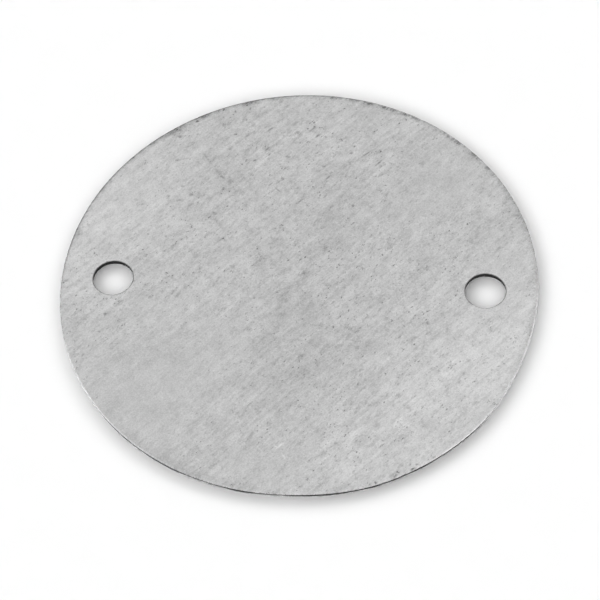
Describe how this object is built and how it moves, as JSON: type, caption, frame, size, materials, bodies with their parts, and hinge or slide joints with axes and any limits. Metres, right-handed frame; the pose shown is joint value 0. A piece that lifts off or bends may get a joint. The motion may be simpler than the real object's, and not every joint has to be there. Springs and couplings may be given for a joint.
{
  "type": "conduit box cover",
  "caption": "Flat round blank cover for a circular conduit box, blanked from galvanised steel sheet, with clearance holes on its centre line for the fixing screws.",
  "frame": {"origin": "centre of the underside, the face that lies on the box", "axes": "+Z out of the front face, X through the centres of both screw holes"},
  "size_m": [0.065, 0.065, 0.0008],
  "materials": {
    "galvanised_steel": "matte, as rolled and galvanised"
  },
  "bodies": {
    "root": {"cover_plate": "galvanised_steel"}
  },
  "joints": []
}
